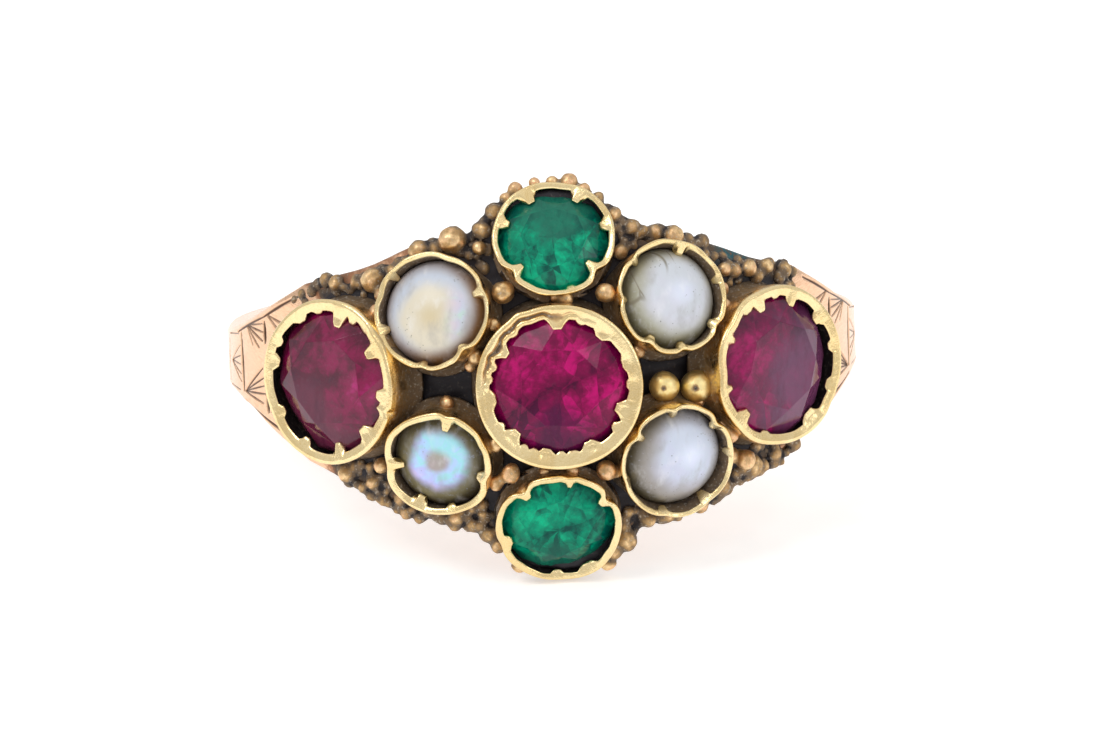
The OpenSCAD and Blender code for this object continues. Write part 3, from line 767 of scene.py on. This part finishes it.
def make_hoop():
    """Tapered hoop and lozenge plate in one, its shoulders engraved."""
    fine = np.radians(np.arange(46, 98, 0.22))
    front, back = np.radians(np.arange(-45.4, 46, 0.7)), np.radians(np.arange(98.4, 180, 1.6))
    turns = np.concatenate([np.radians(np.arange(-180, -98, 1.6)), -fine[::-1], front, fine, back])
    across = np.linspace(-1, 1, 111)
    half = half_width(turns) + 0.02 * np.sin(turns * 23) * (np.abs(turns) < 0.8)
    flat = np.maximum(half - EDGE_ROUND, 0.5)
    drift = 0.13 * np.exp(-((np.degrees(np.abs(turns)) - 66) / 22) ** 4)
    t = turns[:, None] + 0 * across
    z = flat[:, None] * across
    deep = stroke_depth(t, z + drift[:, None])
    soft = np.clip((np.abs(across) - 0.93) / 0.07, 0, 1) ** 2 * 0.03
    lumps = 0.03 * np.sin(z * 9.1 + t * 31) * np.sin(t * 57 - z * 4.2)
    lumps = lumps * np.clip((0.78 - np.abs(t)) / 0.1, 0, 1)
    face = plate_dist(z) - 0.02 - deep * 0.075 - soft + lumps

    # Rows of radius, height and depth of cut: over the face, round its upper edge, down the bore and back
    zero = np.zeros(len(turns))
    low, top = face[:, 0], face[:, -1]
    outside = ((0.025, 0.06), (0.075, 0.108), (0.15, EDGE_ROUND))
    at_bore = ((0.1, EDGE_ROUND), (0.03, 0.1), (0.0, 0.03))
    rows = list(zip(face.T, z.T, deep.T))
    rows += [(top - dr, flat + dz, zero) for dr, dz in outside]
    rows += [((top + BORE_R) / 2, flat + EDGE_ROUND, zero)]
    rows += [(BORE_R + dr + zero, flat + dz, zero) for dr, dz in at_bore]
    rows += [(BORE_R + zero, flat * share, zero) for share in np.linspace(0.9, -0.9, 9)]
    rows += [(BORE_R + dr + zero, -flat - dz, zero) for dr, dz in at_bore[::-1]]
    rows += [((low + BORE_R) / 2, -flat - EDGE_ROUND, zero)]
    rows += [(low - dr, -flat - dz, zero) for dr, dz in outside[::-1]]

    points, grime_and_shade, teal = [], [], []
    for r, h, _ in rows:
        x = r * np.sin(turns)
        points.append(np.stack([x, -r * np.cos(turns), h + drift], 1))
        # Grime with painted shade: dark on the plate between the collets, weaker in the bore, lighter at the
        # plate's border
        shoulder = np.clip((7.35 - np.abs(x) + 0.25 * np.sin(h * 5)) / 0.5, 0, 1) * (np.cos(turns) > 0)
        inside = np.where(r < BORE_R + 0.2, 0.25, 1.0)
        border = np.clip((0.8 - half + np.abs(h)) / 0.5, 0, 1) * np.clip((np.abs(x) - 1.4) / 0.3, 0, 1)
        border = border * (np.abs(turns) < 1.2)
        bare = np.exp(-((x + 5.1) / 1.1) ** 4) * (h > 0)
        grime_and_shade.append(shoulder * inside * (0.95 - border * (0.38 + 0.25 * bare)))
        teal.append(border * np.exp(-((x - 5.5) / 0.5) ** 4) * (h > 0))
    fields = {"cut": [cut for _, _, cut in rows], "grime_and_shade": grime_and_shade, "teal": teal}
    return new_mesh("hoop", np.vstack(points), grid_faces(len(rows), len(turns)), fields)


def grain_tree(finish):
    """Node tree that puts a slightly uneven ball on every point, as large as the point's size says."""
    group = bpy.data.node_groups.new("granulation", "GeometryNodeTree")
    face = group.interface
    face.new_socket("Geometry", in_out="INPUT", socket_type="NodeSocketGeometry")
    for label, value in (("Segments", 8), ("Rings", 6), ("Seed", 5)):
        face.new_socket(label, in_out="INPUT", socket_type="NodeSocketInt").default_value = value
    face.new_socket("Unevenness", in_out="INPUT", socket_type="NodeSocketFloat").default_value = 0.08
    face.new_socket("Geometry", in_out="OUTPUT", socket_type="NodeSocketGeometry")
    t = Tree(group)
    given = t.add("NodeGroupInput").outputs
    size = t.add("GeometryNodeInputNamedAttribute", {"data_type": "FLOAT"}, {"Name": "size"})
    size = size.outputs["Attribute"]
    ball = t.add("GeometryNodeMeshUVSphere", {}, {
        "Radius": 1.0, "Segments": given["Segments"], "Rings": given["Rings"]}).outputs["Mesh"]
    smooth = t.add("GeometryNodeSetShadeSmooth", {}, {"Geometry": ball}).outputs[0]
    spin = t.add("FunctionNodeRandomValue", {"data_type": "FLOAT_VECTOR"}, {
        0: (0, 0, 0), 1: (6.28, 6.28, 6.28), "Seed": given["Seed"]}).outputs[0]
    many = t.add("GeometryNodeInstanceOnPoints", {}, {
        "Points": given["Geometry"], "Instance": smooth, "Rotation": spin, "Scale": size}).outputs[0]
    real = t.add("GeometryNodeRealizeInstances", {}, {"Geometry": many}).outputs[0]
    place = t.add("GeometryNodeInputPosition").outputs[0]
    rough = t.add("ShaderNodeTexNoise", {}, {
        "Vector": place, "Scale": 2.2, "Detail": 4.0, "Roughness": 0.62}).outputs["Color"]
    half = (0.5, 0.5, 0.5)
    middle = t.add("ShaderNodeVectorMath", {"operation": "SUBTRACT"}, {0: rough, 1: half}).outputs[0]
    amount = t.add("ShaderNodeMath", {"operation": "MULTIPLY"}, {0: given["Unevenness"], 1: 0.8}).outputs[0]
    shift = t.add("ShaderNodeVectorMath", {"operation": "SCALE"}, {0: middle, "Scale": amount}).outputs[0]
    moved = t.add("GeometryNodeSetPosition", {}, {"Geometry": real, "Offset": shift}).outputs[0]
    done = t.add("GeometryNodeSetMaterial", {}, {"Geometry": moved, "Material": finish.material}).outputs[0]
    t.add("NodeGroupOutput", {}, {0: done})
    return group


def hollows(mesh, places):
    """How far each point lies below its neighbours along its normal: positive in a crevice."""
    ends = read(mesh.edges, "vertices", 2, int)
    one, two = ends.T
    count = np.bincount(ends.ravel(), minlength=len(places))[:, None]

    def around(values):
        total = np.zeros_like(values)
        np.add.at(total, one, values[two])
        np.add.at(total, two, values[one])
        return total / np.maximum(count, 1)

    normals = read(mesh.vertex_normals, "vector")
    lift = ((around(places) - places) * normals).sum(1, keepdims=True)
    return around(around(lift))[:, 0]


def make_grains(name, rows, finish, fineness, uneven, seed, melt=0.0, dark_reflections=0):
    """Balls of gold on the plate from rows of sideways place, height, radius and rise.

    If asked, they are melted together by a grain of melt millimetres and then darken with grime and painted
    shade low on the plate and in crevices, and the first few get a painted dark reflection on their fronts.
    """
    points, sizes = [], []
    for x, z, r, rise in rows:
        dist = float(plate_dist(z)) + rise
        turn = math.asin(x / dist)
        points.append((dist * math.sin(turn), -dist * math.cos(turn), z))
        sizes.append(r)
    mesh = bpy.data.meshes.new(name)
    mesh.from_pydata(points, [], [])
    store(mesh, "size", sizes)
    obj = add_object(name, mesh)
    modifier = obj.modifiers.new("granulation", "NODES")
    modifier.node_group = grain_tree(finish)
    ids = {s.name: s.identifier for s in modifier.node_group.interface.items_tree if s.in_out == "INPUT"}
    modifier[ids["Segments"]], modifier[ids["Rings"]] = fineness
    modifier[ids["Seed"]] = seed
    modifier[ids["Unevenness"]] = uneven
    if melt:
        fuse = obj.modifiers.new("melt", "REMESH")
        fuse.mode = "VOXEL"
        fuse.voxel_size = melt
        fuse.use_smooth_shade = True
        soften = obj.modifiers.new("soften", "SMOOTH")
        soften.iterations = 3
    mesh = baked(obj).data
    places = read(mesh.vertices, "co")
    above = np.linalg.norm(places[:, :2], axis=1) - plate_dist(places[:, 2])
    above += 0.45 * np.clip((np.abs(places[:, 2]) - 5.5) / 0.3, 0, 1)
    grime_and_shade = np.full(len(places), 0.08)
    # Grime with painted shade: darker low on the plate and in crevices between the melted grains
    if melt:
        grime_and_shade = np.interp(above, (-0.05, 0.12, 0.3, 0.6, 0.9), (0.92, 0.68, 0.44, 0.33, 0.42))
        grime_and_shade = np.maximum(grime_and_shade + 0.26 * np.clip(hollows(mesh, places) / 0.005, -1, 1.6), 0)
    # Painted dark reflection on the front of each of the first few balls
    for size, centre in list(zip(sizes, points))[:dark_reflections]:
        away = (places - np.array(centre)) / size
        dark_reflection = np.exp(-((away[:, 0] + 0.08) ** 2 + away[:, 2] ** 2) / 0.035) * (away[:, 1] < 0)
        grime_and_shade = np.maximum(grime_and_shade, 0.75 * dark_reflection * (np.linalg.norm(away, axis=1) < 1.2))
    mesh.vertices.foreach_set("co", to_frame(places).ravel())
    store(mesh, "grime_and_shade", grime_and_shade)
    mesh.update()
    return obj


def clear_of_cups(x, z, r):
    """Whether a granule on the plate stays outside every collet."""
    dist = float(plate_dist(z))
    place = np.array([[x, -math.sqrt(dist * dist - x * x), z]])
    for row, _, _ in COLLETS.values():
        local = to_collet(collet_axes(row[0], row[1]), place)[0]
        if math.hypot(local[0], local[1]) < row[2] - 0.12 + r:
            return False
    return True


def half_at(x):
    """Half height of the plate at a sideways place."""
    return float(half_width(np.array(math.asin(x / HOOP_R))))


def small_grains():
    """Fine granules along the plate's edge, where they make a crust, and round the feet of the collets."""
    rng = np.random.default_rng(41)
    rows = []
    for side in (-1, 1):
        x = -7.1 if side == 1 else -6.2
        while x < 7.3:
            bare = side == 1 and (-6.5 < x < -4.0 or 4.6 < x < 6.2)
            z = side * (half_at(x) - (0.46 if bare else 0.1) + rng.normal() * 0.06)
            r, rise = rng.uniform(0.13, 0.27), rng.uniform(-0.14, 0.02)
            if clear_of_cups(x, z, r):
                rows.append((x, z, r, rise))
            x += rng.uniform(0.1, 0.24)
    while len(rows) < FINE_GRAINS:
        x = rng.uniform(-6.6, 7.3)
        half = half_at(x)
        z = rng.choice([-1, 1]) * (half - abs(rng.normal()) * 0.6 - 0.3)
        r = rng.uniform(0.1, 0.22)
        bare = z > half - 0.6 and (-6.5 < x < -4.0 or 4.6 < x < 6.2)
        if clear_of_cups(x, z, r) and not bare:
            rows.append((x, z, r, rng.uniform(-0.12, 0.02)))
    return rows


# Building

collet_gold = gold_finish("yellow_gold", tone(252, 230, 178), tone(236, 204, 142), seed=0.0)
grain_gold = gold_finish("grain_gold", tone(250, 222, 168), tone(232, 178, 140), seed=9.0, gloss=0.4)
bead_gold = gold_finish("bead_gold", tone(255, 238, 178), tone(248, 220, 152), seed=4.0, gloss=0.4)

settle(make_hoop(), hoop_finish(), "ring_mount")
for number, label in enumerate(COLLETS):
    settle(make_collet(label, 30 + number), collet_gold, "ring_mount")
granules = make_grains("granules", [*GRAINS, *SOLDER, *small_grains()], grain_gold, (8, 6), 0.24, 3, 0.055)
settle(granules, grain_gold, "ring_mount")
# The beads get a painted dark reflection on their fronts
beads = make_grains("beads", BEADS, bead_gold, (64, 32), 0.06, 2, dark_reflections=2)
settle(beads, bead_gold, "ring_mount")

# Cut stones: table as a share of the width, turn of the facets, flats of the outline (angle, depth, half
# width), seed, tones from deep painted shade to painted glint, side painted lit, scuffs, contrast of the
# painted light of the back facets, painted reflection of the table (tone, place, size, share) and mirror of the
# lamps
RUBY = tone(66, 4, 44), tone(122, 4, 66), tone(184, 8, 104), tone(240, 36, 150)
WINE = tone(48, 8, 36), tone(84, 10, 42), tone(128, 12, 68), tone(172, 26, 108)
PLUM = tone(60, 6, 44), tone(112, 8, 64), tone(160, 14, 92), tone(206, 40, 132)
EMERALD = tone(0, 72, 64), tone(0, 136, 104), tone(0, 180, 132), tone(10, 220, 162)
for label, share, spin, flats, seed, *looks in (
        ("ruby_centre", 0.56, 0.39, [(250, 0.03, 30)], 3, RUBY, 1.9, 0.05, 0.22,
         (tone(88, 22, 66), (0.12, -0.45), 0.42, 0.75), 0.17),
        ("ruby_left", 0.6, 0.5, [(220, 0.18, 28), (165, 0.06, 25)], 5, WINE, 0.7, 0.1, 0.08,
         (tone(108, 44, 68), (-0.15, -0.4), 0.6, 0.7), 0.34),
        ("ruby_right", 0.6, 0.1, [(-20, 0.09, 24), (20, 0.05, 20), (-60, 0.05, 20)], 8, PLUM, 3.1, 0.1, 0.14,
         (tone(112, 62, 96), (0.45, 0.0), 0.6, 0.8), 0.34),
        ("emerald_top", 0.6, 0.7, [(80, 0.1, 36)], 11, EMERALD, 4.0, 0.05, 0.2,
         (tone(36, 112, 92), (0.18, 0.42), 0.46, 0.8), 0.16),
        ("emerald_bottom", 0.58, 0.0, [(-55, 0.1, 30)], 14, EMERALD, 2.6, 0.04, 0.22,
         (tone(34, 92, 78), (0.1, -0.5), 0.46, 0.85), 0.12)):
    shade = gem_finish(label + "_stone", seed, *looks)
    settle(make_stone(label, share, spin, flats, seed), shade, label)

# Half pearls: tones of the bright spot, middle, edge and rim (the nacre's own tones with a painted highlight
# and painted shade), place of the spot, its strength, where the edge's tone begins and is full, painted sheen
# of a play of colour and where it lies, side of the rim's painted shade, cracks and seed
for label, *looks, seed in (
        ("pearl_upper_left", tone(212, 196, 160), tone(220, 211, 190), tone(198, 206, 220), tone(146, 104, 60),
         (0.05, -0.16), 0.0, (0.5, 0.88), 0.46, (0.2, 0.7, -0.1), (0.8, -0.5), 0.0, 1),
        ("pearl_upper_right", tone(220, 224, 240), tone(208, 210, 218), tone(170, 168, 148), tone(104, 98, 68),
         (0.16, 0.06), 0.0, (0.58, 1.0), 0.04, (-3, -2, 0.1), (-0.6, -0.6), 0.8, 2),
        ("pearl_lower_left", tone(166, 148, 134), tone(184, 200, 244), tone(108, 100, 68), tone(72, 62, 40),
         (0.02, 0.08), 0.85, (0.5, 0.78), 0.68, (-3, -2, 0.1), (0.3, -0.4), 0.0, 3),
        ("pearl_lower_right", tone(226, 231, 250), tone(204, 208, 226), tone(158, 152, 148), tone(92, 84, 62),
         (0.22, 0.18), 0.0, (0.52, 1.0), 0.06, (-3, -2, 0.1), (-0.7, -0.3), 0.1, 4)):
    shade = pearl_finish(label + "_nacre", *looks, seed)
    settle(make_pearl(label, seed), shade, label)

# Floor, light and camera

floor_mesh = bpy.data.meshes.new("floor")
floor_mesh.from_pydata([(-3, -3, 0), (3, -3, 0), (3, 3, 0), (-3, 3, 0)], [], [(0, 1, 2, 3)])
floor = add_object("floor", floor_mesh)
paper = Finish("white_paper", Roughness=0.8, Emission_Strength=0.4)
grain = paper.noise(0.5, 3.0).step(0.3, 0.7)
paper.set(Base_Color=paper.blend(grain, (0.86, 0.86, 0.86, 1), (0.9, 0.9, 0.9, 1)),
          Emission_Color=paper.blend(grain, (0.98, 0.98, 0.98, 1), (1, 1, 1, 1)))
floor_mesh.materials.append(paper.material)

world = bpy.data.worlds.new("tent")
SCENE.world = world
world.use_nodes = True
sky = Tree(world.node_tree)
heading = sky.add("ShaderNodeTexCoord").outputs["Generated"]
up = sky.add("ShaderNodeSeparateXYZ", {}, {0: heading}).outputs["Z"]
lift = sky.add("ShaderNodeMapRange", {}, {
    "Value": up, "From Min": -0.1, "From Max": 0.9, "To Min": 0.62, "To Max": 0.85}).outputs[0]
tint = sky.add("ShaderNodeCombineColor", {}, {0: lift, 1: lift, 2: lift})
sky.put(world.node_tree.nodes["Background"].inputs["Color"], tint.outputs[0])


def soft_box(name, place, power, size):
    """Square soft light that looks at the ring."""
    lamp = bpy.data.lights.new(name, "AREA")
    lamp.energy = power
    lamp.size = size
    obj = add_object(name, lamp)
    obj.location = place
    obj.rotation_euler = (Vector((0, 0, 0.006)) - obj.location).to_track_quat("-Z", "Y").to_euler()


soft_box("key", (-0.16, -0.1, 0.26), 0.22, 0.12)
soft_box("fill", (0.2, -0.16, 0.14), 0.06, 0.1)

# The photo's camera, far off: turned to the left, raised and tilted; its picture and the finger's axis in it
TURN, RISE, ROLL = math.radians(2.5), math.radians(7.0), math.radians(2.0)
AWAY = 1000.0
SCALE = 33.05  # pixels a millimetre
WIDE, TALL = 1100, 733
AXIS_AT = (542, 344)
SENSOR = 36
flat_out = np.array([-math.sin(TURN), -math.cos(TURN), 0.0])
right = np.array([math.cos(TURN), -math.sin(TURN), 0.0])
upward = np.array([0, 0, math.cos(RISE)]) - math.sin(RISE) * flat_out
toward = math.cos(RISE) * flat_out + np.array([0, 0, math.sin(RISE)])
right, upward = (math.cos(ROLL) * right - math.sin(ROLL) * upward,
                 math.sin(ROLL) * right + math.cos(ROLL) * upward)
eye = (right * (WIDE / 2 - AXIS_AT[0]) + upward * (AXIS_AT[1] - TALL / 2)) / SCALE + toward * AWAY
camera = add_object("camera", bpy.data.cameras.new("camera"))
camera.data.sensor_width = SENSOR
camera.data.lens = SENSOR * AWAY * SCALE / WIDE
camera.data.clip_end = 10
turned = [Vector(v @ BASIS) for v in (right, upward, toward)]
matrix = Matrix(turned).transposed().to_4x4()
matrix.translation = Vector(to_frame([eye])[0])
camera.matrix_world = matrix
SCENE.camera = camera
SCENE.view_settings.view_transform = "Standard"
